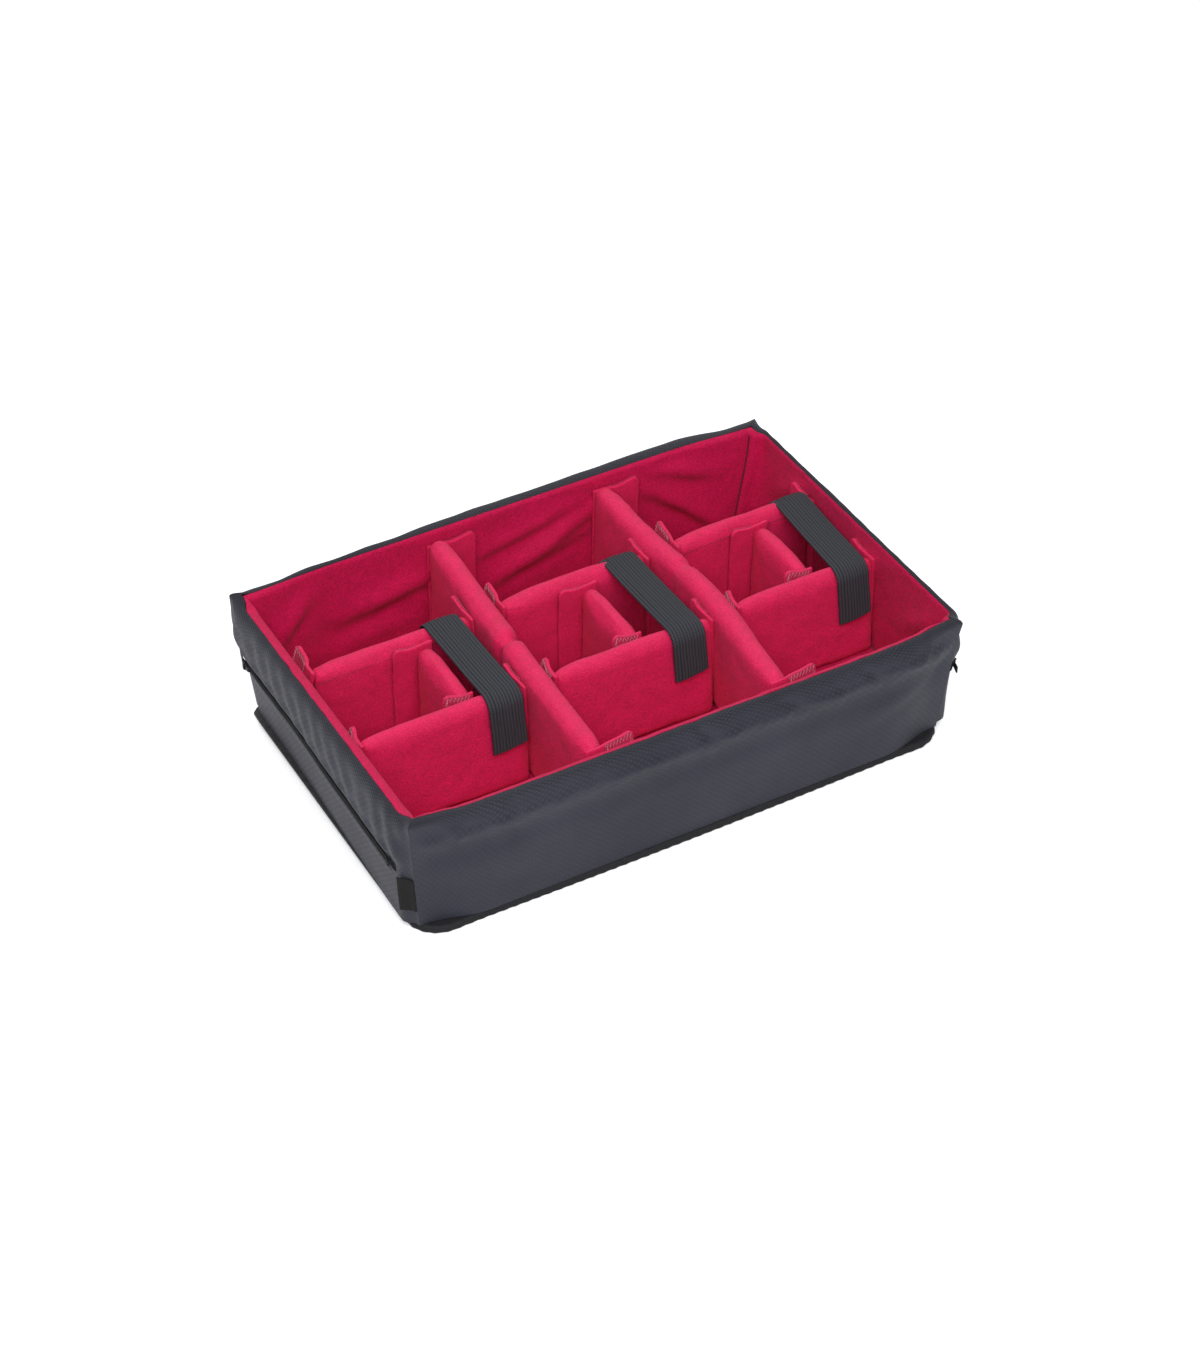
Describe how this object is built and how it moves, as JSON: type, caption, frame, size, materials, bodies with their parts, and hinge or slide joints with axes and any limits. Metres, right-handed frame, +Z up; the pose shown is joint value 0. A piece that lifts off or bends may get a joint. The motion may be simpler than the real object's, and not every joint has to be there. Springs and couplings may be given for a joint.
{
  "type": "padded divider insert",
  "caption": "Open padded tray insert with fleece lining, sliding hook-tab dividers, elastic straps and zipped end walls.",
  "frame": {"origin": "on the floor, under the middle of the base", "axes": "+X along the long side to the right, +Y towards the back, +Z up"},
  "size_m": [0.4343, 0.2805, 0.1024],
  "materials": {
    "ripstop": "coated slate-grey ripstop",
    "base_fabric": "black plain weave",
    "red_fleece": "brushed red loop fleece",
    "foam": "closed-cell foam",
    "board": "stiffener board",
    "elastic": "ribbed woven elastic",
    "hook_tape": "hook tape",
    "zip_coil": "nylon coil",
    "zip_metal": "black painted metal",
    "woven_label": "plain woven tape"
  },
  "bodies": {
    "tray": {"base_panel": "base_fabric", "base_binding": "base_fabric", "base_board": "board", "floor_pad": "foam", "floor_lining": "red_fleece", "outer_skin": "ripstop", "wall_lining": "red_fleece", "front_wall_pad": "foam", "front_wall_board": "board", "right_wall_pad": "foam", "right_wall_board": "board", "back_wall_pad": "foam", "back_wall_board": "board", "left_wall_pad": "foam", "left_wall_board": "board", "left_zip_coil": "zip_coil", "right_zip_coil": "zip_coil", "label_tab": "woven_label"},
    "left_long_divider": {"left_long_divider_cover": "red_fleece", "left_long_divider_front_core": "foam", "left_long_divider_rear_core": "foam"},
    "right_long_divider": {"right_long_divider_cover": "red_fleece", "right_long_divider_front_core": "foam", "right_long_divider_rear_core": "foam"},
    "left_bay": {"left_rear_divider_cover": "red_fleece", "left_rear_divider_core": "foam", "left_front_divider_cover": "red_fleece", "left_front_divider_core": "foam", "left_strap_anchor": "elastic"},
    "left_short_divider": {"left_short_divider_cover": "red_fleece", "left_short_divider_core": "foam"},
    "left_strap": {"left_strap": "elastic", "left_strap_hook": "hook_tape"},
    "middle_bay": {"middle_rear_divider_cover": "red_fleece", "middle_rear_divider_core": "foam", "middle_front_divider_cover": "red_fleece", "middle_front_divider_core": "foam", "middle_strap_anchor": "elastic"},
    "middle_short_divider": {"middle_short_divider_cover": "red_fleece", "middle_short_divider_core": "foam"},
    "middle_strap": {"middle_strap": "elastic", "middle_strap_hook": "hook_tape"},
    "right_bay": {"right_rear_divider_cover": "red_fleece", "right_rear_divider_core": "foam", "right_front_divider_cover": "red_fleece", "right_front_divider_core": "foam", "right_strap_anchor": "elastic"},
    "right_short_divider": {"right_short_divider_cover": "red_fleece", "right_short_divider_core": "foam"},
    "right_strap": {"right_strap": "elastic", "right_strap_hook": "hook_tape"},
    "left_zip_slider": {"left_zip_slider": "zip_metal"},
    "left_zip_pull": {"left_zip_pull": "zip_metal"},
    "right_zip_slider": {"right_zip_slider": "zip_metal"},
    "right_zip_pull": {"right_zip_pull": "zip_metal"}
  },
  "joints": [
    {"name": "left_long_divider_lift", "type": "slide", "parent": "tray", "child": "left_long_divider", "axis": [0, 0, 1], "range_m": [0, 0.1]},
    {"name": "right_long_divider_lift", "type": "slide", "parent": "tray", "child": "right_long_divider", "axis": [0, 0, 1], "range_m": [0, 0.1]},
    {"name": "left_bay_slide", "type": "slide", "parent": "tray", "child": "left_bay", "axis": [0, 1, 0], "range_m": [-0.072, 0.026]},
    {"name": "left_short_divider_slide", "type": "slide", "parent": "left_bay", "child": "left_short_divider", "axis": [1, 0, 0], "range_m": [-0.054, 0.035]},
    {"name": "left_strap_hinge", "type": "hinge", "parent": "left_bay", "child": "left_strap", "pos_m": [-0.08908, 0.05505, 0.08035], "axis": [-1, 0, 0], "range_deg": [0, 110]},
    {"name": "middle_bay_slide", "type": "slide", "parent": "tray", "child": "middle_bay", "axis": [0, 1, 0], "range_m": [-0.072, 0.026]},
    {"name": "middle_short_divider_slide", "type": "slide", "parent": "middle_bay", "child": "middle_short_divider", "axis": [1, 0, 0], "range_m": [-0.039, 0.042]},
    {"name": "middle_strap_hinge", "type": "hinge", "parent": "middle_bay", "child": "middle_strap", "pos_m": [0.05046, 0.05505, 0.08035], "axis": [-1, 0, 0], "range_deg": [0, 110]},
    {"name": "right_bay_slide", "type": "slide", "parent": "tray", "child": "right_bay", "axis": [0, 1, 0], "range_m": [-0.072, 0.026]},
    {"name": "right_short_divider_slide", "type": "slide", "parent": "right_bay", "child": "right_short_divider", "axis": [1, 0, 0], "range_m": [-0.041, 0.037]},
    {"name": "right_strap_hinge", "type": "hinge", "parent": "right_bay", "child": "right_strap", "pos_m": [0.18937, 0.05505, 0.08035], "axis": [-1, 0, 0], "range_deg": [0, 110]},
    {"name": "left_zip_slide", "type": "slide", "parent": "tray", "child": "left_zip_slider", "axis": [0, -1, 0], "range_m": [0, 0.22]},
    {"name": "left_zip_pull_pivot", "type": "hinge", "parent": "left_zip_slider", "child": "left_zip_pull", "pos_m": [-0.21412, 0.1125, 0.055], "axis": [0, 0, 1], "range_deg": [0, 165]},
    {"name": "right_zip_slide", "type": "slide", "parent": "tray", "child": "right_zip_slider", "axis": [0, 1, 0], "range_m": [0, 0.22]},
    {"name": "right_zip_pull_pivot", "type": "hinge", "parent": "right_zip_slider", "child": "right_zip_pull", "pos_m": [0.21659, -0.1125, 0.055], "axis": [0, 0, 1], "range_deg": [0, 165]}
  ]
}
